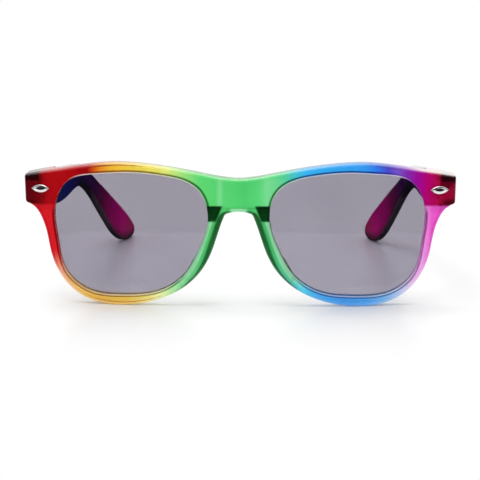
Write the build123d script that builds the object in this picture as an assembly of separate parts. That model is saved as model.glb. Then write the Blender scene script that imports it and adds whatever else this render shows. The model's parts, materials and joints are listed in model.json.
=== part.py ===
from build123d import *
from math import atan2, cos, degrees, hypot, sin
import os

# Diffraction glasses: a moulded plastic front with two tinted lenses, each backed by a thin
# grating film, and two moulded temples that fold on small metal hinges.
#
# Millimetres, modelled first in the front's own frame: the front stands upright, X runs across
# it, Y runs back from the face of the bridge to the ears and Z runs up from the lowest edge of
# the rims. stand_up() then leans the finished glasses until the rims and the temple tips touch
# the surface Z = 0. The sides are named as the wearer has them: left is +X, right is -X.

# Lens openings, and the plastic round them
LENS_WIDTH = 51.5
LENS_HEIGHT = 42.3
LENS_GAP = 21.3  # between the two openings
RIM_UNDER_LENS = 3.5
RIM_OVER_LENS = 3.4
END_PIECE_WIDTH = 10.35  # from an opening to the side of the front
OPENING_EDGE_ROUND = 0.45

# Front
FRONT_WRAP = 7.0  # how far the two ends lie behind the bridge
RIM_DEPTH = 4.2  # front to back
FRONT_EDGE_ROUND = 1.1
BACK_EDGE_ROUND = 0.8
END_CORNER_ROUND = 1.3
ARCH_CORNER_ROUND = 1.7

# Lenses and grating films
LENS_THICK = 1.8
FILM_THICK = 0.3
LENS_SET_BACK = 1.1  # face of the lens behind the face of the rim
LENS_BITE = 0.8  # how far the lens reaches into the rim's groove
LENS_CLEARANCE = 0.05

# Nose pads, moulded on the back of the rims
PAD_PROUD = 4.6  # how far the pads stand behind the rims
PAD_FOOT_SHARE = 0.5  # the pads start this deep in the rim
PAD_TOP_ROUND = 0.7
PAD_END_ROUND = 0.4
# A pad's sections: shares of the way from its foot to its back, shares of the change from the
# foot's outline to the crest's, and sizes against that outline
PAD_SECTION_SHARES = ((0.0, 0.0, 1.0), (0.9, 1.0, 1.0), (1.0, 1.0, 0.7))

# End pieces, which carry the hinges. The height shares are of the front's height.
END_BLOCK_WIDTH = 9.7  # the thick part, in from the side
END_BLOCK_LOW_SHARE = 0.696
END_BLOCK_ROUND = 0.5

# Hinges: two knuckles on the front, one on the temple and a screw through all three
HINGE_INSET = 5.9  # from the side of the front
HINGE_Y = 12.9
HINGE_HEIGHT_SHARE = 0.786
KNUCKLE_RADIUS = 1.4
KNUCKLE_HEIGHT = 2.2
KNUCKLE_GAP = 0.1
KNUCKLE_ROOM = 0.15  # round a knuckle that turns, to the metal beside it
HINGE_ROOM = 0.3  # round the knuckles, to the plastic beside them
BUTT_GAP = 0.3  # between the end piece and the temple's end
FRONT_PLATE_THICK = 1.0
FRONT_PLATE_WIDTH = 2.0
FRONT_PLATE_SUNK = 0.5
TANG_THICK = 0.9
TANG_DEPTH = 2.8
TANG_HEIGHT = 4.6
TANG_BARBS = 3
TANG_BARB_DEPTH = 0.4
TEMPLE_PLATE_THICK = 0.9
TEMPLE_PLATE_SUNK = 0.5
TEMPLE_PLATE_START = 1.7  # behind the hinge axis
TEMPLE_PLATE_LENGTH = 12.0
TEMPLE_PLATE_HEIGHT = 5.0
TEMPLE_PLATE_END_HEIGHT = 3.4
NECK_INSET = 0.6  # from the hinge axis out to the neck between the knuckle and the plate
ANCHOR_RADIUS = 0.6
ANCHOR_LENGTH = 1.5
ANCHOR_SHARES = (0.3, 0.75)  # places along the temple plate
SCREW_RADIUS = 0.7
SCREW_CLEARANCE = 0.05
SCREW_HEAD_RADIUS = 1.05
SCREW_HEAD_HEIGHT = 0.6
SCREW_SLOT_WIDTH = 0.35
SCREW_SLOT_DEPTH = 0.3

# Almond studs on the faces of the end pieces
STUD_WIDTH = 6.3
STUD_HEIGHT = 2.7
STUD_PROUD = 0.6
STUD_SUNK = 0.3
STUD_DISH = 0.25
STUD_LIP = 0.45
STUD_EDGE_ROUND = 0.2
STUD_INSET = 5.6  # from the side of the front
STUD_HEIGHT_SHARE = 0.807
STUD_PIN_RADIUS = 0.45
STUD_PIN_LENGTH = 1.0
STUD_PIN_SPACING = 3.0

# Temples
TEMPLE_LENGTH = 132.0  # straight back from the hinge end to the tip
TEMPLE_TOP_SHARE = 0.882
TEMPLE_DROP = 53.0  # from the top of the hinge end to the underside of the tip
TEMPLE_THICK = 4.0
TEMPLE_TIP_THICK = 3.0
TEMPLE_SIDE_INSET = 0.2  # from the side of the end piece to the temple's outer face
TEMPLE_CURL = 18.0  # how far the tips curve in towards the head
TEMPLE_EDGE_ROUND = 1.0
TEMPLE_TIP_ROUND = 3.0

OVERRUN = 1.0  # how far a cutting shape passes its work
POINT_TOLERANCE = 0.02
STEEPEST_LEAN = 0.3  # radians
LEAN_HALVINGS = 30

# Outlines, read from the middle of the front outwards and then back under the rim. Each point
# is a share of half the front's width and a share of its height.
BROW_SHARES = (
    (0.000, 0.897),
    (0.152, 0.927),
    (0.300, 0.967),
    (0.447, 0.993),
    (0.557, 1.000),
    (0.690, 0.983),
    (0.840, 0.946),
    (0.935, 0.922),
    (1.000, 0.903),
)
END_BOTTOM_SHARE = 0.703
UNDER_SHARES = (
    (0.952, 0.667),
    (0.921, 0.588),
    (0.903, 0.498),
    (0.890, 0.387),
    (0.871, 0.286),
    (0.838, 0.189),
    (0.790, 0.106),
    (0.710, 0.033),
    (0.625, 0.004),
    (0.545, 0.000),
    (0.455, 0.015),
    (0.375, 0.047),
    (0.295, 0.100),
    (0.225, 0.174),
    (0.165, 0.276),
    (0.125, 0.392),
    (0.100, 0.500),
    (0.080, 0.589),
    (0.063, 0.652),
)
ARCH_TOP_SHARE = 0.671
# A nose pad's foot and crest, as shares like those of the front's outline: each down its nose
# side and down its lens side. The foot is as wide as the rim, and the crest is a narrow ridge
# beside the lens that starts lower, so that the pad's upper end and its nose side slope.
PAD_FOOT_NOSE_SHARES = (
    (0.080, 0.712),
    (0.092, 0.600),
    (0.107, 0.500),
    (0.132, 0.395),
    (0.172, 0.285),
    (0.205, 0.222),
    (0.243, 0.165),
)
PAD_FOOT_LENS_SHARES = (
    (0.143, 0.712),
    (0.141, 0.600),
    (0.147, 0.500),
    (0.169, 0.395),
    (0.207, 0.298),
    (0.236, 0.245),
    (0.262, 0.200),
)
PAD_CREST_NOSE_SHARES = (
    (0.114, 0.604),
    (0.118, 0.555),
    (0.128, 0.490),
    (0.152, 0.392),
    (0.185, 0.302),
    (0.207, 0.262),
    (0.228, 0.230),
)
PAD_CREST_LENS_SHARES = (
    (0.141, 0.604),
    (0.141, 0.555),
    (0.149, 0.490),
    (0.171, 0.395),
    (0.202, 0.314),
    (0.222, 0.276),
    (0.240, 0.246),
)
# A lens opening, as shares of its width and height from its middle, round from the nose side
LENS_SHARES = (
    (-0.500, 0.235),
    (-0.402, 0.413),
    (-0.215, 0.480),
    (0.000, 0.500),
    (0.215, 0.484),
    (0.405, 0.425),
    (0.500, 0.215),
    (0.488, -0.075),
    (0.440, -0.318),
    (0.280, -0.474),
    (0.060, -0.500),
    (-0.170, -0.463),
    (-0.350, -0.317),
    (-0.455, -0.090),
)
EDGE_CHECK_SHARES = (0.0, 0.3, 0.5, 0.8, 1.0)

# A temple seen from its side: shares of its length back from the hinge end and of its drop
# below its top, along the upper edge to the tip
UPPER_EDGE_SHARES = (
    (0.000, 0.006),
    (0.130, 0.034),
    (0.315, 0.087),
    (0.490, 0.152),
    (0.580, 0.216),
    (0.650, 0.318),
    (0.760, 0.500),
    (0.860, 0.676),
    (0.950, 0.840),
    (1.000, 0.955),
)
# and from the tip back along the lower edge
LOWER_EDGE_SHARES = (
    (1.000, 0.955),
    (0.972, 0.990),
    (0.925, 1.000),
    (0.865, 0.963),
    (0.805, 0.868),
    (0.755, 0.748),
    (0.703, 0.615),
    (0.645, 0.475),
    (0.588, 0.385),
    (0.515, 0.342),
    (0.400, 0.347),
    (0.300, 0.342),
    (0.200, 0.305),
    (0.090, 0.245),
    (0.024, 0.222),
    (0.000, 0.175),
)
# and seen from above: shares of its length and of the curl of its outer face
TEMPLE_CURL_SHARES = (
    (0.000, 0.000),
    (0.250, 0.032),
    (0.450, 0.105),
    (0.590, 0.235),
    (0.720, 0.470),
    (0.860, 0.765),
    (1.000, 1.000),
)

FRONT_WIDTH = LENS_GAP + 2 * (LENS_WIDTH + END_PIECE_WIDTH)
FRONT_HEIGHT = RIM_UNDER_LENS + LENS_HEIGHT + RIM_OVER_LENS
HALF_WIDTH = FRONT_WIDTH / 2
WRAP_RADIUS = (HALF_WIDTH**2 + FRONT_WRAP**2) / (2 * FRONT_WRAP)
LENS_MIDDLE_X = (LENS_GAP + LENS_WIDTH) / 2
LENS_MIDDLE_Z = RIM_UNDER_LENS + LENS_HEIGHT / 2
END_BLOCK_INNER = HALF_WIDTH - END_BLOCK_WIDTH
END_BLOCK_LOW = END_BLOCK_LOW_SHARE * FRONT_HEIGHT
HINGE_X = HALF_WIDTH - HINGE_INSET
HINGE_Z = HINGE_HEIGHT_SHARE * FRONT_HEIGHT
STUD_X = HALF_WIDTH - STUD_INSET
STUD_Z = STUD_HEIGHT_SHARE * FRONT_HEIGHT
TEMPLE_TOP = TEMPLE_TOP_SHARE * FRONT_HEIGHT
END_BUTT_Y = HINGE_Y - BUTT_GAP / 2
TEMPLE_BUTT_Y = HINGE_Y + BUTT_GAP / 2
TEMPLE_OUTER_X = HALF_WIDTH - TEMPLE_SIDE_INSET
TEMPLE_INNER_X = TEMPLE_OUTER_X - TEMPLE_THICK
KNUCKLE_PITCH = KNUCKLE_HEIGHT + KNUCKLE_GAP
STACK_HEIGHT = 3 * KNUCKLE_HEIGHT + 2 * KNUCKLE_GAP
SCREW_TOP = HINGE_Z + STACK_HEIGHT / 2
BACK = (0, 1, 0)


def upright(x, z):
    """A point on the front's own plane, Y = 0."""
    return Vector(x, 0, z)


def wrap_at(x):
    """How far the face of the front lies behind the bridge, at x from the middle."""
    return WRAP_RADIUS - (WRAP_RADIUS**2 - x**2) ** 0.5


def box_between(low, high):
    """A box from its lowest corner to its highest."""
    size = [h - l for l, h in zip(low, high)]
    return Pos(*low) * Box(*size, align=Align.MIN)


def wrapped(y_front, y_back):
    """The curved wall between two depths behind the face of the front."""
    ring = Circle(WRAP_RADIUS - y_front) - Circle(WRAP_RADIUS - y_back)
    wall = extrude(Pos(0, WRAP_RADIUS, -FRONT_HEIGHT) * ring, amount=3 * FRONT_HEIGHT)
    reach = FRONT_WRAP + RIM_DEPTH + PAD_PROUD
    return wall & box_between(
        (-FRONT_WIDTH, -reach, -FRONT_HEIGHT), (FRONT_WIDTH, 3 * reach, 2 * FRONT_HEIGHT)
    )


def half_outline(shares):
    """Points of an outline's +X half, from its shares."""
    return [upright(x * HALF_WIDTH, z * FRONT_HEIGHT) for x, z in shares]


def outline_face():
    """The front's whole outline, as a flat face on Y = 0."""
    brow_half = half_outline(BROW_SHARES)
    brow = Spline(*[upright(-point.X, point.Z) for point in brow_half[:0:-1]], *brow_half)
    end_low = upright(HALF_WIDTH, END_BOTTOM_SHARE * FRONT_HEIGHT)
    under = Spline(end_low, *half_outline(UNDER_SHARES))
    left = [Line(brow @ 1, end_low), under]
    arch_corner = under @ 1
    arch_top = upright(0, ARCH_TOP_SHARE * FRONT_HEIGHT)
    arch = ThreePointArc(arch_corner, arch_top, upright(-arch_corner.X, arch_corner.Z))
    face = make_face([brow, arch] + left + [mirror(edge, about=Plane.YZ) for edge in left])
    ends = [v for v in face.vertices() if abs(v.X) > HALF_WIDTH / 2]
    face = fillet(ends, END_CORNER_ROUND)
    nose = [v for v in face.vertices() if abs(v.X) < LENS_GAP / 2]
    return fillet(nose, ARCH_CORNER_ROUND)


def back_prism(face, y_low, y_high):
    """A flat face on Y = 0 carried back from y_low to y_high."""
    return Pos(0, y_low, 0) * extrude(face, amount=y_high - y_low, dir=BACK)


def lens_face(grow=0):
    """The left lens's outline, grown all round by a distance."""
    width = LENS_WIDTH + 2 * grow
    height = LENS_HEIGHT + 2 * grow
    points = [upright(LENS_MIDDLE_X + x * width, LENS_MIDDLE_Z + z * height) for x, z in LENS_SHARES]
    return make_face(Spline(*points, periodic=True))


def both_sides(part):
    """The +X piece and its mirror image."""
    return [part, mirror(part, about=Plane.YZ)]


def pad_section(depth, change, size):
    """A section of the left nose pad, between the outlines of its foot and its crest."""
    sides = []
    for foot_shares, crest_shares in (
        (PAD_FOOT_NOSE_SHARES, PAD_CREST_NOSE_SHARES),
        (PAD_FOOT_LENS_SHARES, PAD_CREST_LENS_SHARES),
    ):
        pairs = zip(half_outline(foot_shares), half_outline(crest_shares))
        sides.append([foot + (crest - foot) * change for foot, crest in pairs])
    points = sides[0] + sides[1]
    middle = sum(points, Vector(0, 0, 0)) / len(points)
    nose, side = [[middle + (point - middle) * size for point in points] for points in sides]
    edges = [Spline(*nose), Line(nose[-1], side[-1]), Spline(*side), Line(side[0], nose[0])]
    face = make_face(edges)
    face = fillet(face.vertices().sort_by(Axis.Z)[-2:], size * PAD_TOP_ROUND)
    face = fillet(face.vertices().sort_by(Axis.Z)[:2], size * PAD_END_ROUND)
    return Pos(0, depth, 0) * face


def nose_pad():
    """The left nose pad, from inside the rim to its rounded crest."""
    foot_depth = wrap_at(LENS_GAP / 2) + PAD_FOOT_SHARE * RIM_DEPTH
    height = (1 - PAD_FOOT_SHARE) * RIM_DEPTH + PAD_PROUD
    return loft(
        [pad_section(foot_depth + way * height, *shares) for way, *shares in PAD_SECTION_SHARES]
    )


def end_zone():
    """The space that the left end piece's thick part fills, back to the temple's end."""
    return wrapped(RIM_DEPTH / 2, 2 * RIM_DEPTH) & box_between(
        (END_BLOCK_INNER, 0, END_BLOCK_LOW), (FRONT_WIDTH, END_BUTT_Y, 2 * FRONT_HEIGHT)
    )


def lies_at(edge, depth):
    """Whether a free-form edge follows the front's curve at one depth behind its face."""
    if edge.geom_type != GeomType.BSPLINE:
        return False
    points = [edge @ share for share in EDGE_CHECK_SHARES]
    radii = [hypot(point.X, WRAP_RADIUS - point.Y) for point in points]
    return all(abs(WRAP_RADIUS - depth - radius) < POINT_TOLERANCE for radius in radii)


def front_shell():
    """The front without its openings, rounded all round: one curved wall with thick ends."""
    wall = wrapped(0, RIM_DEPTH)
    for zone in both_sides(end_zone()):
        wall += zone
    shell = back_prism(outline_face(), -OVERRUN, END_BUTT_Y + OVERRUN) & wall
    shell = fillet([e for e in shell.edges() if lies_at(e, 0)], FRONT_EDGE_ROUND)
    shell = fillet([e for e in shell.edges() if lies_at(e, RIM_DEPTH)], BACK_EDGE_ROUND)
    tops = shell.edges().filter_by_position(Axis.Y, END_BUTT_Y, END_BUTT_Y)
    return fillet(tops.filter_by(GeomType.BSPLINE).group_by(Axis.Z)[-1], END_BLOCK_ROUND)


def front_half():
    """The wearer's left half of the front with all that is moulded and cut in it."""
    half = front_shell() & box_between(
        (0, -OVERRUN, -OVERRUN), (FRONT_WIDTH, END_BUTT_Y + OVERRUN, 2 * FRONT_HEIGHT)
    )
    half -= back_prism(lens_face(), -OVERRUN, END_BUTT_Y + OVERRUN)
    for depth in (0, RIM_DEPTH):
        rims = [e for e in half.edges() if lies_at(e, depth) and e.is_closed]
        half = fillet(rims, OPENING_EDGE_ROUND)
    half += nose_pad()
    return half - lens_groove() - hinge_room() - front_leaf_root() - end_stud()


def front_frame():
    """The moulded front: both halves as one piece."""
    half = front_half()
    return half + mirror(half, about=Plane.YZ)


def lens_blank(depth, thick, grow):
    """A curved blank with the left lens's outline."""
    return back_prism(lens_face(grow), -OVERRUN, END_BUTT_Y + OVERRUN) & wrapped(
        depth, depth + thick
    )


def lens():
    """The left tinted lens, which bends one way only so that the film can lie flat on it."""
    return lens_blank(LENS_SET_BACK, LENS_THICK, LENS_BITE)


def grating_film():
    """The film laminated on the back of the left lens."""
    return lens_blank(LENS_SET_BACK + LENS_THICK, FILM_THICK, LENS_BITE)


def lens_groove():
    """The groove that the lens and its film snap into."""
    depth = LENS_SET_BACK - LENS_CLEARANCE
    thick = LENS_THICK + FILM_THICK + 2 * LENS_CLEARANCE
    return lens_blank(depth, thick, LENS_BITE + LENS_CLEARANCE)


def knuckle(level):
    """A hinge knuckle, level steps above the middle one."""
    return Pos(HINGE_X, HINGE_Y, HINGE_Z + level * KNUCKLE_PITCH) * Cylinder(
        KNUCKLE_RADIUS, KNUCKLE_HEIGHT
    )


def barbed_tang():
    """The toothed tongue of a front leaf, which is pressed into the end piece."""
    step = TANG_DEPTH / TANG_BARBS
    half = TANG_HEIGHT / 2
    edge = []
    for barb in range(TANG_BARBS):
        edge.append((barb * step, half - TANG_BARB_DEPTH))
        edge.append((barb * step, half))
    edge.append((TANG_DEPTH, half - TANG_BARB_DEPTH))
    points = edge + [(y, -z) for y, z in reversed(edge)]
    x = HINGE_X - KNUCKLE_RADIUS - KNUCKLE_ROOM - FRONT_PLATE_WIDTH / 2
    y = END_BUTT_Y - FRONT_PLATE_SUNK
    wire = Polyline(*[(0, -py, pz) for py, pz in points], close=True)
    return Pos(x - TANG_THICK / 2, y, HINGE_Z) * extrude(
        make_face(wire), amount=TANG_THICK, dir=(1, 0, 0)
    )


def front_leaf_root():
    """The plate and tang of the left front leaf, the part that the end piece holds."""
    x_high = HINGE_X - KNUCKLE_RADIUS - KNUCKLE_ROOM
    y_low = END_BUTT_Y - FRONT_PLATE_SUNK
    low = (x_high - FRONT_PLATE_WIDTH, y_low, HINGE_Z - STACK_HEIGHT / 2)
    high = (x_high, y_low + FRONT_PLATE_THICK, HINGE_Z + STACK_HEIGHT / 2)
    return box_between(low, high) + barbed_tang()


def front_leaf():
    """The left front leaf: plate, tang and the two outer knuckles."""
    leaf = front_leaf_root()
    y_low = END_BUTT_Y - FRONT_PLATE_SUNK
    for level in (-1, 1):
        z = HINGE_Z + level * KNUCKLE_PITCH
        low = (HINGE_X - KNUCKLE_RADIUS - KNUCKLE_ROOM, y_low, z - KNUCKLE_HEIGHT / 2)
        high = (HINGE_X, y_low + FRONT_PLATE_THICK, z + KNUCKLE_HEIGHT / 2)
        leaf += knuckle(level) + box_between(low, high)
    return leaf - screw_blank()


def screw_blank():
    """The left hinge screw without its slot."""
    shank = Cylinder(SCREW_RADIUS, STACK_HEIGHT, align=(Align.CENTER, Align.CENTER, Align.MAX))
    head = Cylinder(
        SCREW_HEAD_RADIUS, SCREW_HEAD_HEIGHT, align=(Align.CENTER, Align.CENTER, Align.MAX)
    )
    return Pos(HINGE_X, HINGE_Y, SCREW_TOP) * (shank + head)


def hinge_screw():
    """The left hinge screw, its slotted head flush with the upper knuckle."""
    slot = Box(
        2 * SCREW_HEAD_RADIUS + OVERRUN,
        SCREW_SLOT_WIDTH,
        2 * SCREW_SLOT_DEPTH,
    )
    return screw_blank() - Pos(HINGE_X, HINGE_Y, SCREW_TOP) * slot


def temple_leaf_root():
    """The tapered plate of the left temple leaf with its two anchors and its neck."""
    x_low = TEMPLE_INNER_X + TEMPLE_PLATE_SUNK - TEMPLE_PLATE_THICK
    y_low = HINGE_Y + TEMPLE_PLATE_START
    half, end_half = TEMPLE_PLATE_HEIGHT / 2, TEMPLE_PLATE_END_HEIGHT / 2
    outline = Polyline(
        (x_low, y_low, HINGE_Z - half),
        (x_low, y_low, HINGE_Z + half),
        (x_low, y_low + TEMPLE_PLATE_LENGTH, HINGE_Z + end_half),
        (x_low, y_low + TEMPLE_PLATE_LENGTH, HINGE_Z - end_half),
        close=True,
    )
    root = extrude(make_face(outline), amount=TEMPLE_PLATE_THICK, dir=(1, 0, 0))
    for share in ANCHOR_SHARES:
        place = Pos(x_low + TEMPLE_PLATE_THICK, y_low + share * TEMPLE_PLATE_LENGTH, HINGE_Z)
        anchor = Cylinder(
            ANCHOR_RADIUS, ANCHOR_LENGTH, align=(Align.CENTER, Align.CENTER, Align.MIN)
        )
        root += place * Rot(0, 90, 0) * anchor
    return root + box_between(
        (HINGE_X + NECK_INSET, HINGE_Y + BUTT_GAP, HINGE_Z - KNUCKLE_HEIGHT / 2),
        (x_low + TEMPLE_PLATE_THICK, y_low, HINGE_Z + KNUCKLE_HEIGHT / 2),
    )


def temple_leaf():
    """The left temple leaf: the middle knuckle on its root."""
    bore = Cylinder(SCREW_RADIUS + SCREW_CLEARANCE, KNUCKLE_HEIGHT + OVERRUN)
    return temple_leaf_root() + knuckle(0) - Pos(HINGE_X, HINGE_Y, HINGE_Z) * bore


def hinge_room():
    """The hollow in the left end piece that the knuckles stand and turn in."""
    return Pos(HINGE_X, HINGE_Y, HINGE_Z) * Cylinder(
        KNUCKLE_RADIUS + HINGE_ROOM, STACK_HEIGHT + 2 * HINGE_ROOM
    )


def end_stud():
    """The left almond stud with its dished face and two short pins."""
    half_width, half_height = STUD_WIDTH / 2, STUD_HEIGHT / 2
    upper = ThreePointArc((-half_width, 0, 0), (0, 0, half_height), (half_width, 0, 0))
    lower = ThreePointArc((half_width, 0, 0), (0, 0, -half_height), (-half_width, 0, 0))
    almond = make_face([upper, lower])
    stud = Pos(0, STUD_SUNK, 0) * extrude(almond, amount=STUD_SUNK + STUD_PROUD, dir=(0, -1, 0))
    stud = fillet(stud.faces().sort_by(Axis.Y)[0].edges(), STUD_EDGE_ROUND)
    dish = extrude(offset(almond, amount=-STUD_LIP), amount=OVERRUN, dir=(0, -1, 0))
    stud -= Pos(0, STUD_DISH - STUD_PROUD, 0) * dish
    for side in (-1, 1):
        place = Pos(side * STUD_PIN_SPACING / 2, STUD_SUNK, 0)
        pin = Cylinder(
            STUD_PIN_RADIUS, STUD_PIN_LENGTH, align=(Align.CENTER, Align.CENTER, Align.MAX)
        )
        stud += place * Rot(90, 0, 0) * pin
    turn = degrees(atan2(STUD_X, WRAP_RADIUS - wrap_at(STUD_X)))
    return Pos(STUD_X, wrap_at(STUD_X), STUD_Z) * Rot(0, 0, turn) * stud


def temple_point(length_share, drop_share):
    """A point of the temple seen from its side, on the plane X = 0."""
    return Vector(
        0, TEMPLE_BUTT_Y + length_share * TEMPLE_LENGTH, TEMPLE_TOP - drop_share * TEMPLE_DROP
    )


def temple_arm():
    """The left temple's rounded arm: its side outline across a band that curls inwards."""
    upper = [temple_point(*shares) for shares in UPPER_EDGE_SHARES]
    lower = [temple_point(*shares) for shares in LOWER_EDGE_SHARES]
    profile = make_face([Spline(*upper), Spline(*lower), Line(lower[-1], upper[0])])
    profile = fillet(profile.vertices().sort_by(Axis.Y)[-1], TEMPLE_TIP_ROUND)
    bar = extrude(profile, amount=FRONT_WIDTH, dir=(1, 0, 0))
    start = TEMPLE_BUTT_Y - OVERRUN
    reach = TEMPLE_LENGTH + 2 * OVERRUN
    outer = [
        Vector(TEMPLE_OUTER_X - curl * TEMPLE_CURL, start + along * reach, 0)
        for along, curl in TEMPLE_CURL_SHARES
    ]
    thinning = TEMPLE_THICK - TEMPLE_TIP_THICK
    inner = [
        point - Vector(TEMPLE_THICK - thinning * along, 0, 0)
        for point, (along, curl) in zip(outer, TEMPLE_CURL_SHARES)
    ]
    edges = [Spline(*outer), Line(outer[-1], inner[-1]), Spline(*inner), Line(inner[0], outer[0])]
    band = extrude(Pos(0, 0, TEMPLE_TOP + OVERRUN) * make_face(edges), amount=-2 * TEMPLE_DROP)
    arm = bar & band
    long_edges = [e for e in arm.edges() if e.length > TEMPLE_LENGTH]
    return fillet(long_edges, TEMPLE_EDGE_ROUND)


def temple():
    """The left temple with the seat of its hinge leaf."""
    return temple_arm() - temple_leaf_root()


def lowest(points, lean):
    """The lowest height among some points after the lean."""
    return min(point.Y * sin(lean) + point.Z * cos(lean) for point in points)


def standing_lean(front, arm):
    """The lean that puts the rims and the temple tips on one level, in radians."""
    rims = front.tessellate(POINT_TOLERANCE)[0]
    tips = arm.tessellate(POINT_TOLERANCE)[0]
    low, high = 0, STEEPEST_LEAN
    for halving in range(LEAN_HALVINGS):
        lean = (low + high) / 2
        if lowest(tips, lean) < lowest(rims, lean):
            low = lean
        else:
            high = lean
    return lean


def named_pieces():
    """Every piece in the front's own frame, by the name of its node."""
    pieces = {"front_frame": front_frame()}
    for name, make in (
        ("lens", lens),
        ("grating_film", grating_film),
        ("end_stud", end_stud),
        ("front_hinge_leaf", front_leaf),
        ("hinge_screw", hinge_screw),
        ("temple_hinge_leaf", temple_leaf),
        ("temple", temple),
    ):
        pieces["left_" + name], pieces["right_" + name] = both_sides(make())
    return pieces


def stand_up(pieces):
    """The placement that leans the glasses onto the surface Z = 0, centred on the origin."""
    lean = standing_lean(pieces["front_frame"], pieces["left_temple"])
    leaned = Rot(degrees(lean), 0, 0)
    box = Compound([leaned * piece for piece in pieces.values()]).bounding_box()
    return Pos(0, -(box.min.Y + box.max.Y) / 2, -box.min.Z) * leaned, degrees(lean)


pieces = named_pieces()
place, lean_angle = stand_up(pieces)
os.makedirs("parts", exist_ok=True)
for name, piece in pieces.items():
    export_step(place * piece, os.path.join("parts", name + ".step"))

hinge = (place * Pos(HINGE_X, HINGE_Y, HINGE_Z)).position
bridge = (place * Pos(0, 0, HINGE_Z)).position
print("lean angle", round(lean_angle, 3))
print("left hinge at", [round(value, 3) for value in hinge])
print("bridge face at", [round(value, 3) for value in bridge])
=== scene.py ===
import json
import math

import bmesh
import bpy
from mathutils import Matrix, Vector


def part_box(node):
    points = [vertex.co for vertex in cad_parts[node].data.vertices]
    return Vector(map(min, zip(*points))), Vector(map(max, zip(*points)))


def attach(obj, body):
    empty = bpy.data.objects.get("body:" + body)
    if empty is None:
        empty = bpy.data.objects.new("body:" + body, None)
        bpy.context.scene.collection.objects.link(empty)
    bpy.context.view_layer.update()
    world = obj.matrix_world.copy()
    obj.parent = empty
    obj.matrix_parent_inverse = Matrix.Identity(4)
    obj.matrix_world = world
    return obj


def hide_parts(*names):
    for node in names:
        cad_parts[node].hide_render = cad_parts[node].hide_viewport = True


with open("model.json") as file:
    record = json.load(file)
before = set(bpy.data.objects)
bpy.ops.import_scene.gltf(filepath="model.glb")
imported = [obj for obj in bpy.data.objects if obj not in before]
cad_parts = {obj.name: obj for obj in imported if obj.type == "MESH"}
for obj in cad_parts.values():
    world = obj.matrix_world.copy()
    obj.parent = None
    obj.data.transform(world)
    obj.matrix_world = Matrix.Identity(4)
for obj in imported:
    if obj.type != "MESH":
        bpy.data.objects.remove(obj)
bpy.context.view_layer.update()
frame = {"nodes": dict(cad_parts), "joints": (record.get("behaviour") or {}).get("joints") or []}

MM = 0.001

# The front
# One injection moulding of clear polycarbonate with both rims, the bridge, the nose pads and the
# end pieces. It is dipped in dye after moulding, so the rainbow runs across it. Thick places and
# edges are darkened with painted shade, and lit faces lightened with painted highlights.


def linear(hex_colour):
    """An sRGB hex colour as the linear RGBA that the nodes take."""
    channels = [int(hex_colour[i : i + 2], 16) / 255 for i in (0, 2, 4)]
    return (*[c / 12.92 if c <= 0.04045 else ((c + 0.055) / 1.055) ** 2.4 for c in channels], 1.0)


def add(tree, kind, settings=None, **links):
    """Adds a node with its settings and links.

    An input goes by its name, or by its number as i0, i1 and so on. It takes a value, or the
    socket to link from.
    """
    node = tree.nodes.new(kind)
    for key, value in (settings or {}).items():
        setattr(node, key, value)
    for key, value in links.items():
        numbered = key[0] == "i" and key[1:].isdigit()
        socket = node.inputs[int(key[1:])] if numbered else node.inputs[key.replace("_", " ")]
        if isinstance(value, bpy.types.NodeSocket):
            tree.links.new(value, socket)
        else:
            socket.default_value = value
    return node


def start_material(name):
    """A new material, its node tree and the tree's only node, which gives a place's coordinates."""
    material = bpy.data.materials.new(name)
    material.use_nodes = True
    material.node_tree.nodes.clear()
    return material, material.node_tree, add(material.node_tree, "ShaderNodeTexCoord")


# Places on the front are measured in millimetres: across to the wearer's left, off the middle to
# either side, and up from the table.
front_plastic, tree, place = start_material("dyed polycarbonate, moulded and glossy, rainbow")
in_mm = add(tree, "ShaderNodeVectorMath", {"operation": "SCALE"}, i0=place.outputs["Object"], Scale=1 / MM)
axes = add(tree, "ShaderNodeSeparateXYZ", Vector=in_mm.outputs["Vector"])
facing = add(tree, "ShaderNodeSeparateXYZ", Vector=place.outputs["Normal"])
off_middle = add(tree, "ShaderNodeMath", {"operation": "ABSOLUTE"}, i0=axes.outputs["X"]).outputs[0]
measures = {
    "across": axes.outputs["X"],
    "off middle": off_middle,
    "up": axes.outputs["Z"],
    "facing up": facing.outputs["Z"],
}

# The colours of the dye from the wearer's right end to the left one, along the brow and along the
# low half of the rims, which is paler.
BROW_DYE = (
    (0.000, "98101C"),
    (0.030, "C00E1A"),
    (0.100, "C80A14"),
    (0.130, "C80410"),
    (0.155, "D00A0C"),
    (0.168, "EE6A14"),
    (0.182, "FA9C24"),
    (0.205, "FFC43A"),
    (0.255, "FFDC4C"),
    (0.300, "FCEC68"),
    (0.335, "ECF884"),
    (0.370, "ACF088"),
    (0.410, "66E47C"),
    (0.500, "58DE78"),
    (0.575, "60E084"),
    (0.605, "5CE0A4"),
    (0.628, "4CD0DC"),
    (0.655, "3CBEFF"),
    (0.720, "36B2FF"),
    (0.790, "36A2FF"),
    (0.818, "3480FA"),
    (0.840, "5654E6"),
    (0.862, "8A62E8"),
    (0.884, "9834C8"),
    (0.908, "B00CAE"),
    (0.935, "CC0478"),
    (0.965, "C80844"),
    (1.000, "9C0C34"),
)
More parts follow.
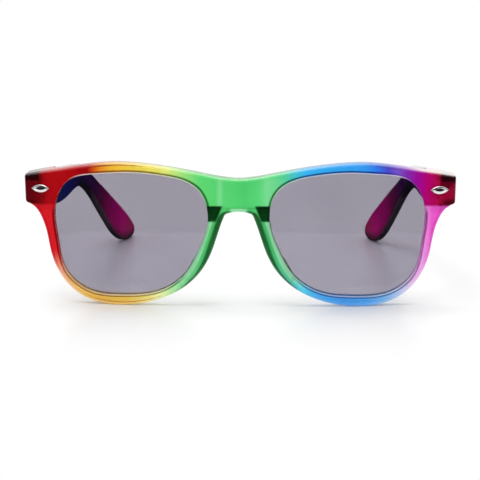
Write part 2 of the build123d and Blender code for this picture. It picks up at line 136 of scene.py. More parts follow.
LOW_DYE = (
    (0.000, "DC262C"),
    (0.040, "F0584C"),
    (0.062, "FF9078"),
    (0.082, "FFBC98"),
    (0.105, "FFCC80"),
    (0.135, "FFCE54"),
    (0.180, "FFCC48"),
    (0.240, "FFD650"),
    (0.285, "FFEA80"),
    (0.315, "F4FCB0"),
    (0.345, "BCF8AC"),
    (0.375, "88F6A0"),
    (0.420, "5CEC88"),
    (0.580, "5CEC90"),
    (0.615, "64F0C4"),
    (0.640, "54DEF8"),
    (0.685, "40B4FF"),
    (0.740, "38A4FF"),
    (0.800, "48ACFF"),
    (0.835, "74C2FF"),
    (0.862, "A8D0FF"),
    (0.888, "DCDAFF"),
    (0.906, "FCD0FF"),
    (0.926, "FFB0F8"),
    (0.946, "FF66DE"),
    (1.000, "FF48D2"),
)


def fill_ramp(node, stops):
    """Gives a new ramp its stops, (position, hex colour) pairs, and returns its colour socket."""
    elements = node.color_ramp.elements
    while len(elements) < len(stops):
        elements.new(0.5)
    for element, (position, colour) in zip(elements, stops):
        element.position = position
        element.color = linear(colour)
    return node.outputs["Color"]


front_low, front_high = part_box("front_frame")
from_end = add(
    tree,
    "ShaderNodeMapRange",
    Value=measures["across"],
    From_Min=front_low.x / MM,
    From_Max=front_high.x / MM,
).outputs["Result"]
brow_dye = fill_ramp(add(tree, "ShaderNodeValToRGB", Fac=from_end), BROW_DYE)
low_dye = fill_ramp(add(tree, "ShaderNodeValToRGB", Fac=from_end), LOW_DYE)


def strength(tree, measures, *marks):
    """How strongly any of some marks shows at a place: the greatest of them, as a socket.

    A mark is its full strength, then its limits. A limit is the name of a measure, where the mark
    starts and where it is full, and then the levels there if they aren't 0 and 1.
    """
    most = None
    for shown, *limits in marks:
        for measure, start, end, *levels in limits:
            low, high = levels or (0.0, 1.0)
            fade = add(
                tree,
                "ShaderNodeMapRange",
                {"interpolation_type": "SMOOTHSTEP"},
                Value=measures[measure],
                From_Min=start,
                From_Max=end,
                To_Min=low,
                To_Max=high,
            ).outputs["Result"]
            shown = add(tree, "ShaderNodeMath", {"operation": "MULTIPLY"}, i0=shown, i1=fade).outputs[0]
        if most is None:
            most = shown
        else:
            most = add(tree, "ShaderNodeMath", {"operation": "MAXIMUM"}, i0=most, i1=shown).outputs[0]
    return most


def lay_over(tree, colour, *coats):
    """Lays coats of colour over one another, (share, colour) pairs, and returns the last socket."""
    # Inputs 6 and 7 of a mix node are its two colours, as 2 and 3 are its two numbers.
    for share, coat in coats:
        mixed = add(tree, "ShaderNodeMix", {"data_type": "RGBA"}, i0=share, i6=colour, i7=coat)
        colour = mixed.outputs[2]
    return colour


# The dye took a little unevenly, in patches.
DYE_PATCH = 9.0 * MM
PATCH_LEVELS = (0.3, 0.7)


def uneven(tree, place, dye, patch_range):
    """A dye's colour, made darker and paler in patches, as a socket."""
    patches = add(tree, "ShaderNodeTexNoise", Vector=place, Scale=1 / DYE_PATCH, Detail=2.0)
    level = add(
        tree,
        "ShaderNodeMapRange",
        Value=patches.outputs["Fac"],
        From_Min=PATCH_LEVELS[0],
        From_Max=PATCH_LEVELS[1],
        To_Min=patch_range[0],
        To_Max=patch_range[1],
    ).outputs["Result"]
    return add(tree, "ShaderNodeVectorMath", {"operation": "SCALE"}, i0=dye, Scale=level).outputs["Vector"]


# The brow's dye takes over from the low one gradually up the rims, and at once where the end pieces
# start. The outer side of the right rim stays red.
LOW_RED = "E8202C"
END_FOOT = 34.4
OVER_END_FOOT = ("up", END_FOOT - 0.5, END_FOOT + 0.5)
BROW_OVER_RIMS = (1.0, ("up", 10.0, 33.0))
BROW_AT_ENDS = (1.0, OVER_END_FOOT)
NEAR_ENDS = (1.0, ("off middle", 55.0, 61.0))
RED_SIDE = (1.0, ("across", -55.0, -60.0), ("up", 10.0, 19.0))
FRONT_PATCH_RANGE = (0.92, 1.06)
brow_share = add(
    tree,
    "ShaderNodeMix",
    {"data_type": "FLOAT"},
    i0=strength(tree, measures, NEAR_ENDS),
    i2=strength(tree, measures, BROW_OVER_RIMS),
    i3=strength(tree, measures, BROW_AT_ENDS),
).outputs[0]
red_side = strength(tree, measures, RED_SIDE)
rainbow = lay_over(tree, low_dye, (red_side, linear(LOW_RED)), (brow_share, brow_dye))
uneven_rainbow = uneven(tree, place.outputs["Object"], rainbow, FRONT_PATCH_RANGE)

# Pale streaks over the bridge are painted highlights, for light that the curved plastic refracts.
BRIDGE_STREAK_HALF_WIDTH = 16.0
BRIDGE_HIGHLIGHT_STREAKS = (
    (0.000, "000000"),
    (0.260, "000000"),
    (0.303, "A4A4A4"),
    (0.345, "303030"),
    (0.500, "000000"),
    (0.690, "080808"),
    (0.730, "484848"),
    (0.790, "9A9A9A"),
    (0.850, "848484"),
    (1.000, "000000"),
)
BRIDGE_HIGHLIGHT_LIMITS = (("up", 32.5, 35.5), ("up", 45.0, 43.0))
BRIDGE_HIGHLIGHT_PALE = "B4F8C8"
streak_across = add(
    tree,
    "ShaderNodeMapRange",
    Value=measures["across"],
    From_Min=-BRIDGE_STREAK_HALF_WIDTH,
    From_Max=BRIDGE_STREAK_HALF_WIDTH,
)
highlight_streaks = fill_ramp(add(tree, "ShaderNodeValToRGB", Fac=streak_across.outputs["Result"]), BRIDGE_HIGHLIGHT_STREAKS)
bridge_highlight = strength(tree, measures, (highlight_streaks, *BRIDGE_HIGHLIGHT_LIMITS))


def follow_profile(tree, measure, profile):
    """The height of a smooth line through (measure, height) points, as a socket."""
    first, last = profile[0][0], profile[-1][0]
    top = max(height for place, height in profile)
    along = add(tree, "ShaderNodeMapRange", Value=measure, From_Min=first, From_Max=last)
    line = add(tree, "ShaderNodeFloatCurve", Value=along.outputs["Result"])
    shares = [((place - first) / (last - first), height / top) for place, height in profile]
    points = line.mapping.curves[0].points
    points[0].location = shares[0]
    points[1].location = shares[-1]
    for share in shares[1:-1]:
        points.new(*share)
    line.mapping.update()
    scaled = add(tree, "ShaderNodeMath", {"operation": "MULTIPLY"}, i0=line.outputs["Value"], i1=top)
    return scaled.outputs[0]


# Along the nose the walls of the pads run back behind the rim, and painted shade makes the look
# through their depth deep green; the pads' sloping tops get darker painted shade. Beside the lens,
# where the rim is thin, and in the middle of the arch, pale highlights are painted. The nose's edge
# of the rim is a line through (up from the table, off the middle).
NOSE_EDGE = (
    (0.0, 25.0),
    (5.0, 19.6),
    (8.0, 16.0),
    (11.0, 13.1),
    (14.0, 11.1),
    (17.0, 9.7),
    (20.0, 8.6),
    (23.0, 7.6),
    (26.0, 6.65),
    (29.0, 5.6),
    (31.0, 4.8),
    (32.0, 4.1),
    (32.6, 3.3),
    (33.1, 2.0),
    (35.0, 0.0),
)
PAD_WALL_SHADE = (
    0.86,
    ("from nose edge", 2.5, 1.6),
    ("up", 33.4, 32.9),
    ("off middle", 1.9, 2.9),
    ("off middle", 25.0, 17.0),
)
PALE_RIM_HIGHLIGHT = (0.85, ("from nose edge", 2.9, 3.6), ("up", 29.8, 29.0), ("off middle", 24.0, 17.0))
PALE_ARCH_HIGHLIGHT = (0.75, ("off middle", 3.4, 1.8), ("up", 34.2, 33.6))
PAD_SLANT = Vector((0.92, 0.0, 0.39))  # square to the slanting line in which the pads' tops end
PAD_CORNER = PAD_SLANT.dot(Vector((5.8, 0.0, 34.0)))
PAD_TOP_SHADE = (
    1.0,
    ("up", 29.2, 29.8),
    ("up", 34.9, 34.4),
    ("off middle", 10.7, 10.2),
    ("from nose edge", 1.0, 1.9),
    ("along slant", PAD_CORNER - 0.5, PAD_CORNER + 0.3),
)
WALL_SHADE_GREEN = "0C4C1A"
HIGHLIGHT_GREEN = "B8FFCE"
PAD_SHADE_GREEN = "0A4418"
nose_edge = follow_profile(tree, measures["up"], NOSE_EDGE)
from_nose_edge = add(tree, "ShaderNodeMath", {"operation": "SUBTRACT"}, i0=off_middle, i1=nose_edge)
measures["from nose edge"] = from_nose_edge.outputs[0]
folded = add(tree, "ShaderNodeCombineXYZ", X=off_middle, Z=measures["up"])
along_slant = add(
    tree, "ShaderNodeVectorMath", {"operation": "DOT_PRODUCT"}, i0=folded.outputs["Vector"], i1=PAD_SLANT
)
measures["along slant"] = along_slant.outputs["Value"]
pad_wall_shade = strength(tree, measures, PAD_WALL_SHADE)
pale_highlights = strength(tree, measures, PALE_RIM_HIGHLIGHT, PALE_ARCH_HIGHLIGHT)
pad_top_shade = strength(tree, measures, PAD_TOP_SHADE)

# The end pieces are the thickest places. Painted shade darkens their outer corners, the outer part
# of the right one, and patches by the hinge that is sunk into them.
CLOUD_SIZE = 2.6 * MM
END_SHADE_MARKS = (
    (0.96, ("off middle", 66.6, 67.6), ("up", 41.0, 42.9)),
    (0.75, ("off middle", 66.5, 69.5), ("up", 37.6, 35.4), OVER_END_FOOT),
    (0.7, ("cloud", 0.44, 0.62), ("off middle", 64.0, 67.5), OVER_END_FOOT),
    (0.6, ("across", -64.0, -68.5), OVER_END_FOOT),
)
END_SHADE_DARK = "1A0206"
clouds = add(tree, "ShaderNodeTexNoise", Vector=place.outputs["Object"], Scale=1 / CLOUD_SIZE, Detail=2.0)
measures["cloud"] = clouds.outputs["Fac"]
end_shade = strength(tree, measures, *END_SHADE_MARKS)

# Painted highlights: faces that look up, and the underside of the brow, are painted nearly white,
# as a lit edge looks that gathers the light of the whole sheet. The brow's own top face gets less,
# and the pads none.
ON_BROW = (1.0, ("up", 36.0, 40.0), ("off middle", 62.0, 54.0))
LIT_TOP = 0.75
BROW_LOSS = 0.58
LIT_TOP_LIMITS = (
    ("facing up", 0.25, 0.75),
    ("up", 12.0, 20.0, 0.7, 1.0),
    ("across", -42.0, -62.0, 1.0, 0.3),
)
LIT_UNDERSIDES = (
    (0.7, ("facing up", -0.06, -0.4), ("up", 33.0, 35.0), ("off middle", 58.0, 52.0)),
    (0.15, ("facing up", -0.06, -0.5), ("up", 12.0, 6.0), ("off middle", 22.0, 27.0)),
)
LIT_WHITE = "FFF8F4"
lit_top = add(
    tree,
    "ShaderNodeMath",
    {"operation": "MULTIPLY_ADD"},
    i0=strength(tree, measures, ON_BROW),
    i1=-LIT_TOP * BROW_LOSS,
    i2=LIT_TOP,
).outputs[0]
lit = strength(tree, measures, (lit_top, *LIT_TOP_LIMITS), *LIT_UNDERSIDES)
off_pads = add(tree, "ShaderNodeMath", {"operation": "SUBTRACT"}, i0=1.0, i1=pad_top_shade).outputs[0]
lit_edge = add(tree, "ShaderNodeMath", {"operation": "MULTIPLY"}, i0=lit, i1=off_pads).outputs[0]
# The dye is overlaid with painted highlights and painted shade: streaks on the bridge, bands by the nose,
# the pads' tops, the end pieces' corners and the lit faces.
front_colour = lay_over(
    tree,
    uneven_rainbow,
    (bridge_highlight, linear(BRIDGE_HIGHLIGHT_PALE)),
    (pad_wall_shade, linear(WALL_SHADE_GREEN)),
    (pale_highlights, linear(HIGHLIGHT_GREEN)),
    (pad_top_shade, linear(PAD_SHADE_GREEN)),
    (end_shade, linear(END_SHADE_DARK)),
    (lit_edge, linear(LIT_WHITE)),
)

# Every polished face has the marks of handling: smudges that change its gloss in patches, and
# hairline scratches that run in one main direction. The noise counts as a mark between two levels.
HAIRLINE_GAP = 0.35 * MM
HAIRLINE_LENGTH = 9.0 * MM
HAIRLINE_TURN = (0.3, 0.2, 0.9)
HAIRLINE_LEVELS = (0.62, 0.74)
SMUDGE_LEVELS = (0.35, 0.7)
WAVE_STRENGTH = 0.5


def polish_wear(tree, place, smudge_size, scratch_gloss, gloss_range, wave_depth):
    """The roughness and the bumped normal of a handled face, as two sockets."""
    smudges = add(
        tree, "ShaderNodeTexNoise", Vector=place, Scale=1 / smudge_size, Detail=3.0, Roughness=0.6
    ).outputs["Fac"]
    stretched = add(
        tree,
        "ShaderNodeMapping",
        Vector=place,
        Rotation=HAIRLINE_TURN,
        Scale=(1 / HAIRLINE_GAP, 1 / HAIRLINE_LENGTH, 1 / HAIRLINE_LENGTH),
    )
    hairlines = add(tree, "ShaderNodeTexNoise", Vector=stretched.outputs["Vector"], Scale=1.0, Detail=2.0)
    scratched = add(
        tree,
        "ShaderNodeMapRange",
        Value=hairlines.outputs["Fac"],
        From_Min=HAIRLINE_LEVELS[0],
        From_Max=HAIRLINE_LEVELS[1],
        To_Max=scratch_gloss,
    ).outputs["Result"]
    smudged = add(
        tree,
        "ShaderNodeMapRange",
        Value=smudges,
        From_Min=SMUDGE_LEVELS[0],
        From_Max=SMUDGE_LEVELS[1],
        To_Min=gloss_range[0],
        To_Max=gloss_range[1],
    ).outputs["Result"]
    roughness = add(tree, "ShaderNodeMath", {"operation": "ADD"}, i0=smudged, i1=scratched)
    waves = add(tree, "ShaderNodeBump", Strength=WAVE_STRENGTH, Distance=wave_depth, Height=smudges)
    return roughness.outputs[0], waves.outputs["Normal"]


def finish_material(tree, **inputs):
    """Adds the shader with its inputs, and links it to the surface."""
    shader = add(tree, "ShaderNodeBsdfPrincipled", **inputs)
    add(tree, "ShaderNodeOutputMaterial", Surface=shader.outputs["BSDF"])


def dress(node_name, material):
    """Gives a CAD node one material."""
    slots = frame["nodes"][node_name].data.materials
    slots.clear()
    slots.append(material)


# Thin rims let most light through. The thick ends, the pads and the lit edges hold it back.
RIM_CLEARNESS = 0.85
BROW_CLEARNESS = (1.0, ("off middle", 44.0, 58.0, 0.9, 0.25))
HIGH_UP = (1.0, ("up", 31.0, 35.0))
NOSE_DEPTH = (0.5, ("off middle", 22.0, 17.0), ("up", 34.5, 33.5))
FRONT_SMUDGE = 11.0 * MM
FRONT_GLOSS = (0.03, 0.10)
SCRATCH_GLOSS = 0.12
POLISH_WAVE = 0.03 * MM
clearness = add(
    tree,
    "ShaderNodeMix",
    {"data_type": "FLOAT"},
    i0=strength(tree, measures, HIGH_UP),
    i2=RIM_CLEARNESS,
    i3=strength(tree, measures, BROW_CLEARNESS),
).outputs[0]
held_back = strength(tree, measures, NOSE_DEPTH, (lit_edge,))
passed_on = add(tree, "ShaderNodeMath", {"operation": "SUBTRACT"}, i0=1.0, i1=held_back).outputs[0]
let_through = add(tree, "ShaderNodeMath", {"operation": "MULTIPLY"}, i0=clearness, i1=passed_on).outputs[0]
roughness, normal = polish_wear(
    tree, place.outputs["Object"], FRONT_SMUDGE, SCRATCH_GLOSS, FRONT_GLOSS, POLISH_WAVE
)
finish_material(
    tree,
    Base_Color=front_colour,
    Roughness=roughness,
    Normal=normal,
    IOR=1.5,
    Transmission_Weight=let_through,
)
dress("front_frame", front_plastic)

# The lenses
# Two curved blanks of cellulose acetate, dyed through to an even grey and snapped into the grooves
# of the rims. Both faces are polished, so the room shows through them clear and dimmed.
LENS_PATCH = 30.0 * MM
LENS_TINT = ((0.3, "A29EAA"), (0.7, "A8A4B0"))
LENS_SMUDGE = 16.0 * MM
LENS_GLOSS = (0.0, 0.02)
LENS_SCRATCH_GLOSS = 0.015
LENS_WAVE = 0.0012 * MM

lens_grey, tree, place = start_material("grey dyed acetate, polished sheet")
tint_patches = add(
    tree, "ShaderNodeTexNoise", Vector=place.outputs["Object"], Scale=1 / LENS_PATCH, Detail=1.0
)
roughness, normal = polish_wear(
    tree, place.outputs["Object"], LENS_SMUDGE, LENS_SCRATCH_GLOSS, LENS_GLOSS, LENS_WAVE
)
finish_material(
    tree,
    Base_Color=fill_ramp(add(tree, "ShaderNodeValToRGB", Fac=tint_patches.outputs["Fac"]), LENS_TINT),
    Roughness=roughness,
    Normal=normal,
    IOR=1.49,
    Transmission_Weight=1.0,
)
for side in ("left", "right"):
    dress(side + "_lens", lens_grey)

# The grating films
# A clear polyester film behind each lens, embossed with fine straight lines that split light into
# its colours. To the eye it is a clear glossy sheet with a faint rainbow in its gloss.
RULING_PITCH = 0.5 * MM  # far finer on the real film, and drawn as coarse as it needs to show
RULING_DEPTH = 0.0004 * MM
RULING_STRENGTH = 0.3
BAND_SPACING = math.tau / 20  # of the wave texture, at a scale of 1
HANDLING_LEVELS = (0.4, 0.7)
FILM_GLOSS = 0.05

film_clear, tree, place = start_material("embossed clear polyester film")
ruling = add(
    tree,
    "ShaderNodeTexWave",
    {"wave_type": "BANDS", "bands_direction": "X"},
    Vector=place.outputs["Object"],
    Scale=BAND_SPACING / RULING_PITCH,
    Distortion=0.0,
)
embossed = add(
    tree, "ShaderNodeBump", Strength=RULING_STRENGTH, Distance=RULING_DEPTH, Height=ruling.outputs["Fac"]
)
handling = add(tree, "ShaderNodeTexNoise", Vector=place.outputs["Object"], Scale=1 / LENS_SMUDGE, Detail=3.0)
film_gloss = add(
    tree,
    "ShaderNodeMapRange",
    Value=handling.outputs["Fac"],
    From_Min=HANDLING_LEVELS[0],
    From_Max=HANDLING_LEVELS[1],
    To_Max=FILM_GLOSS,
)
finish_material(
    tree,
    Base_Color=linear("FAFBFF"),
    Roughness=film_gloss.outputs["Result"],
    Normal=embossed.outputs["Normal"],
    IOR=1.49,
    Transmission_Weight=1.0,
    Thin_Film_Thickness=520.0,
    Thin_Film_IOR=1.38,
)

# Each film is drawn a hair behind its lens, because the facets of two faces on one curved surface
# cross each other. Lens and film are curved about one axis behind them, which leans with the front
# as the hinges' axes do.
FILM_GAP = 0.08 * MM
LENS_AXIS_BACK = 309.23 * MM
MERGE_WITHIN = 0.002 * MM
hinge_axis = next(joint["axis"] for joint in frame["joints"] if joint["name"] == "left_temple_hinge")
backward = Vector((0.0, hinge_axis[2], -hinge_axis[1]))
for side in ("left", "right"):
    shape = bmesh.new()
    shape.from_mesh(frame["nodes"][side + "_grating_film"].data)
    for edge in shape.edges:
        edge.smooth = not edge.is_boundary
    bmesh.ops.remove_doubles(shape, verts=shape.verts, dist=MERGE_WITHIN)
    for vertex in shape.verts:
        from_axis = backward * (vertex.co.dot(backward) - LENS_AXIS_BACK)
        from_axis.x = vertex.co.x
        vertex.co -= from_axis.normalized() * FILM_GAP
    film_mesh = bpy.data.meshes.new(side + "_clear_film")
    shape.to_mesh(film_mesh)
    shape.free()
    film_mesh.materials.append(film_clear)
    film = bpy.data.objects.new(side + "_clear_film", film_mesh)
    bpy.context.scene.collection.objects.link(film)
    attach(film, "front")
    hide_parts(side + "_grating_film")

# The end studs
# An almond-shaped rivet head on each end piece, stamped from brass and chrome plated, held by two
# short pins. Its dish mirrors the bright room in two lips and the dim room in its middle.
STUD_WIDTH = 6.3 * MM
STUD_HEIGHT = 2.7 * MM
STUD_MIDDLE = Vector((66.905, -66.893, 39.818)) * MM
STUD_FACING = Vector((0.1718, -0.9832, -0.0615)).normalized()
STUD_WIDE = Vector((0.9851, 0.1721, 0.0)).normalized()
STUD_UP = STUD_WIDE.cross(STUD_FACING).normalized()
# Its profile from the outline, 0, to the middle line, 1, with the height over the end piece in
# millimetres.
STUD_PROFILE = (
    (0.00, -0.30),
    (0.00, 0.30),
    (0.03, 0.45),
    (0.09, 0.56),
    (0.16, 0.60),
    (0.23, 0.58),
    (0.30, 0.53),
    (0.38, 0.46),
    (0.47, 0.38),
    (0.57, 0.31),
    (0.68, 0.25),
    (0.80, 0.21),
    (0.92, 0.19),
    (1.00, 0.185),
)
STUD_STEPS = 72
STUD_BACK = STUD_PROFILE[0][1] * MM
DISH_MIDDLE_REACH = 0.45  # the dish's middle line, as a share of the width
DISH_MIDDLE_LIFT = 0.35 * MM
STUD_PIN_RADIUS = 0.45 * MM
STUD_PIN_LENGTH = 1.0 * MM
STUD_PIN_SPACING = 3.0 * MM
PIN_STEPS = 20
SHARP_ANGLE = math.radians(40)


def stud_head(name, side):
    """One stud as a closed mesh, in its place on the left (side 1) or right (side -1)."""
    half_width, half_height = STUD_WIDTH / 2, STUD_HEIGHT / 2
    radius = (half_width**2 + half_height**2) / (2 * half_height)
    points, faces = [], []

    def place_point(wide, up, out):
        point = STUD_MIDDLE + STUD_WIDE * wide + STUD_UP * up + STUD_FACING * out
        points.append((point.x * side, point.y, point.z))

    for share, out in STUD_PROFILE:
        for i in range(STUD_STEPS):
            turn = math.tau * i / STUD_STEPS
            wide = half_width * math.cos(turn)
            rise = math.sqrt(radius**2 - wide**2) - (radius - half_height)
            up = math.copysign(max(rise, 0.0), math.sin(turn)) if i % (STUD_STEPS // 2) else 0.0
            inner_wide = wide * DISH_MIDDLE_REACH
            inner_up = DISH_MIDDLE_LIFT * (1 - (wide / half_width) ** 2)
            place_point(wide + (inner_wide - wide) * share, up + (inner_up - up) * share, out * MM)
    for ring in range(len(STUD_PROFILE) - 1):
        for i in range(STUD_STEPS):
            j = (i + 1) % STUD_STEPS
            low, high = ring * STUD_STEPS, (ring + 1) * STUD_STEPS
            faces.append((low + i, low + j, high + j, high + i))
    faces.append(tuple(reversed(range(STUD_STEPS))))
    last = (len(STUD_PROFILE) - 1) * STUD_STEPS
    for i in range(STUD_STEPS // 2):
        below = (STUD_STEPS - i) % STUD_STEPS
        faces.append((last + i, last + i + 1, last + STUD_STEPS - i - 1, last + below))
    for pin_side in (-1, 1):
        start = len(points)
        middle = pin_side * STUD_PIN_SPACING / 2
        for out in (STUD_BACK, STUD_BACK - STUD_PIN_LENGTH):
            for i in range(PIN_STEPS):
                turn = math.tau * i / PIN_STEPS
                place_point(middle + STUD_PIN_RADIUS * math.cos(turn), STUD_PIN_RADIUS * math.sin(turn), out)
        for i in range(PIN_STEPS):
            j = (i + 1) % PIN_STEPS
            faces.append((start + i, start + PIN_STEPS + i, start + PIN_STEPS + j, start + j))
        faces.append(tuple(start + i for i in range(PIN_STEPS)))
        faces.append(tuple(start + PIN_STEPS + i for i in reversed(range(PIN_STEPS))))
    mesh = bpy.data.meshes.new(name)
    mesh.from_pydata(points, [], faces)
    shape = bmesh.new()
    shape.from_mesh(mesh)
    bmesh.ops.remove_doubles(shape, verts=shape.verts, dist=MERGE_WITHIN)
    bmesh.ops.recalc_face_normals(shape, faces=shape.faces)
    shape.to_mesh(mesh)
    shape.free()
    mesh.shade_smooth()
    mesh.set_sharp_from_angle(angle=SHARP_ANGLE)
    head = bpy.data.objects.new(name, mesh)
    bpy.context.scene.collection.objects.link(head)
    return head


# The plate is smooth and bright, with the faint grain of the stamped brass in its gloss.
PLATE_GRAIN = 1.2 * MM
PLATE_TONES = ((0.35, "F4F2F2"), (0.75, "E2DEDE"))
PLATE_LEVELS = (0.4, 0.75)
PLATE_GLOSS = (0.05, 0.12)

stud_chrome, tree, place = start_material("chrome plate on stamped brass")
grain = add(
    tree, "ShaderNodeTexNoise", Vector=place.outputs["Object"], Scale=1 / PLATE_GRAIN, Detail=4.0
).outputs["Fac"]
plate_gloss = add(
    tree,
    "ShaderNodeMapRange",
    Value=grain,
    From_Min=PLATE_LEVELS[0],
    From_Max=PLATE_LEVELS[1],
    To_Min=PLATE_GLOSS[0],
    To_Max=PLATE_GLOSS[1],
)
finish_material(
    tree,
    Base_Color=fill_ramp(add(tree, "ShaderNodeValToRGB", Fac=grain), PLATE_TONES),
    Metallic=1.0,
    Roughness=plate_gloss.outputs["Result"],
)
for side, sign in (("left", 1), ("right", -1)):
    head = stud_head(side + "_stud_head", sign)
    head.data.materials.append(stud_chrome)
    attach(head, "front")
    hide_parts(side + "_end_stud")

# The hinges
# Stamped nickel silver leaves with three knuckles and a turned steel screw. The leaves sit in the
# clear plastic, so their teeth and plates show through it. Tumbling left them a satin of tiny
# dents, and they tarnish a little in patches.
TUMBLE_SIZE = 0.5 * MM
TUMBLE_DEPTH = 0.02 * MM
TUMBLE_STRENGTH = 0.6
TUMBLE_LEVELS = (0.3, 0.7)
LEAF_GLOSS = (0.25, 0.45)
TARNISH_SIZE = 3.0 * MM
TARNISH_TONES = ((0.3, "C4C0B6"), (0.55, "B2ADA0"), (0.75, "8E887A"))

hinge_metal, tree, place = start_material("nickel silver, stamped and tumbled")
tumbling = add(
    tree, "ShaderNodeTexNoise", Vector=place.outputs["Object"], Scale=1 / TUMBLE_SIZE, Detail=3.0
).outputs["Fac"]
tarnish = add(tree, "ShaderNodeTexNoise", Vector=place.outputs["Object"], Scale=1 / TARNISH_SIZE, Detail=4.0)
leaf_gloss = add(
    tree,
    "ShaderNodeMapRange",
    Value=tumbling,
    From_Min=TUMBLE_LEVELS[0],
    From_Max=TUMBLE_LEVELS[1],
    To_Min=LEAF_GLOSS[0],
    To_Max=LEAF_GLOSS[1],
)
dents = add(tree, "ShaderNodeBump", Strength=TUMBLE_STRENGTH, Distance=TUMBLE_DEPTH, Height=tumbling)
finish_material(
    tree,
    Base_Color=fill_ramp(add(tree, "ShaderNodeValToRGB", Fac=tarnish.outputs["Fac"]), TARNISH_TONES),
    Metallic=1.0,
    Roughness=leaf_gloss.outputs["Result"],
    Normal=dents.outputs["Normal"],
)

# The screw keeps the fine rings of its turning, which draw its gloss out along its length.
TURNING_PITCH = 0.08 * MM
TURNING_DEPTH = 0.005 * MM
TURNING_STRENGTH = 0.3

screw_steel, tree, place = start_material("stainless steel, turned")
turning = add(
    tree,
    "ShaderNodeTexWave",
    {"wave_type": "BANDS", "bands_direction": "Z"},
    Vector=place.outputs["Object"],
    Scale=BAND_SPACING / TURNING_PITCH,
    Distortion=1.5,
    Detail=1.0,
)
rings = add(
    tree, "ShaderNodeBump", Strength=TURNING_STRENGTH, Distance=TURNING_DEPTH, Height=turning.outputs["Fac"]
)
finish_material(
    tree,
    Base_Color=linear("C8C8CC"),
    Metallic=1.0,
    Roughness=0.22,
    Normal=rings.outputs["Normal"],
)
for side in ("left", "right"):
    dress(side + "_front_hinge_leaf", hinge_metal)
    dress(side + "_temple_hinge_leaf", hinge_metal)
    dress(side + "_hinge_screw", screw_steel)

# The temples
# Side arms moulded of the same clear polycarbonate. Their dye runs lengthwise, from a dark grey
# green at the hinge through navy and violet to magenta and crimson at the tips.
TEMPLE_DYE = (
    (0.000, "3A4A54"),
    (0.150, "28444E"),
    (0.195, "1A3262"),
    (0.245, "10206C"),
    (0.330, "101266"),
    (0.440, "220C50"),
    (0.540, "3A0448"),
    (0.620, "680444"),
    (0.690, "A8046C"),
    (0.770, "CC0880"),
    (0.850, "B02460"),
    (1.000, "982854"),
)
# The arm's edges: nearly white near the hinge, then painted shade, nearly black, further back.
TEMPLE_EDGE_PALE_AND_SHADE = (
    (0.000, "E8F0EE"),
    (0.200, "D4DEE2"),
    (0.330, "6C7694"),
    (0.450, "2A1E44"),
    (0.560, "160A20"),
    (1.000, "12060F"),
)
# The dye runs back along the arm and down its bend, over this stretch in millimetres.
DYE_RUN = (0.0, 1.0, -0.45)
TEMPLE_FROM = -75.0
TEMPLE_TO = 90.0
TEMPLE_PATCH_RANGE = (0.85, 1.1)

temple_plastic, tree, place = start_material("dyed polycarbonate, moulded and glossy, violet run")
in_mm = add(tree, "ShaderNodeVectorMath", {"operation": "SCALE"}, i0=place.outputs["Object"], Scale=1 / MM)
axes = add(tree, "ShaderNodeSeparateXYZ", Vector=in_mm.outputs["Vector"])
facing = add(tree, "ShaderNodeSeparateXYZ", Vector=place.outputs["Normal"])
run = add(tree, "ShaderNodeVectorMath", {"operation": "DOT_PRODUCT"}, i0=in_mm.outputs["Vector"], i1=DYE_RUN)
along = add(
    tree, "ShaderNodeMapRange", Value=run.outputs["Value"], From_Min=TEMPLE_FROM, From_Max=TEMPLE_TO
).outputs["Result"]
side_dye = fill_ramp(add(tree, "ShaderNodeValToRGB", Fac=along), TEMPLE_DYE)
edge_pale_and_shade = fill_ramp(add(tree, "ShaderNodeValToRGB", Fac=along), TEMPLE_EDGE_PALE_AND_SHADE)

# The arm's edges are painted nearly white near the hinge and nearly black further back, the dark
# part as painted shade for the look along the whole depth of the arm. A band along its underside
# is painted nearly black as shade too. Near the hinge its upper edge is nearly white. The underside
# is a line through (back, up from the table).
UNDERSIDE = (
    (-60.0, 33.0),
    (-44.0, 31.4),
    (-28.0, 29.0),
    (-12.0, 28.9),
    (4.0, 30.4),
    (12.0, 30.4),
    (20.0, 27.5),
    (28.0, 21.7),
    (36.0, 14.7),
    (44.0, 7.7),
    (52.0, 2.5),
    (60.0, 0.2),
    (76.0, 0.0),
)
TOP_EDGE_FALL = (0.0, 0.114, 1.0)
EDGE_PALE_AND_SHADE_MARK = (0.96, ("side on", 0.85, 0.35))
UNDERSIDE_SHADE = (0.95, ("over underside", 5.4, 0.5), ("along", 0.34, 0.46))
PALE_TOP = (1.0, ("top line", 38.8, 40.0), ("back", -52.0, -44.0), ("back", 40.0, 6.0))
UNDERSIDE_SHADE_DARK = "0C020A"
PALE_TOP_WHITE = "F4F6F6"
underside = follow_profile(tree, axes.outputs["Y"], UNDERSIDE)
top_line = add(
    tree, "ShaderNodeVectorMath", {"operation": "DOT_PRODUCT"}, i0=in_mm.outputs["Vector"], i1=TOP_EDGE_FALL
)
glance = add(tree, "ShaderNodeLayerWeight", Blend=0.5)
side_on = add(tree, "ShaderNodeMath", {"operation": "ABSOLUTE"}, i0=facing.outputs["X"])
over_underside = add(tree, "ShaderNodeMath", {"operation": "SUBTRACT"}, i0=axes.outputs["Z"], i1=underside)
measures = {
    "back": axes.outputs["Y"],
    "along": along,
    "facing up": facing.outputs["Z"],
    "side on": side_on.outputs[0],
    "over underside": over_underside.outputs[0],
    "top line": top_line.outputs["Value"],
    "glance": glance.outputs["Facing"],
}
temple_colour = lay_over(
    tree,
    uneven(tree, place.outputs["Object"], side_dye, TEMPLE_PATCH_RANGE),
    (strength(tree, measures, EDGE_PALE_AND_SHADE_MARK), edge_pale_and_shade),
    (strength(tree, measures, UNDERSIDE_SHADE), linear(UNDERSIDE_SHADE_DARK)),
    (strength(tree, measures, PALE_TOP), linear(PALE_TOP_WHITE)),
)

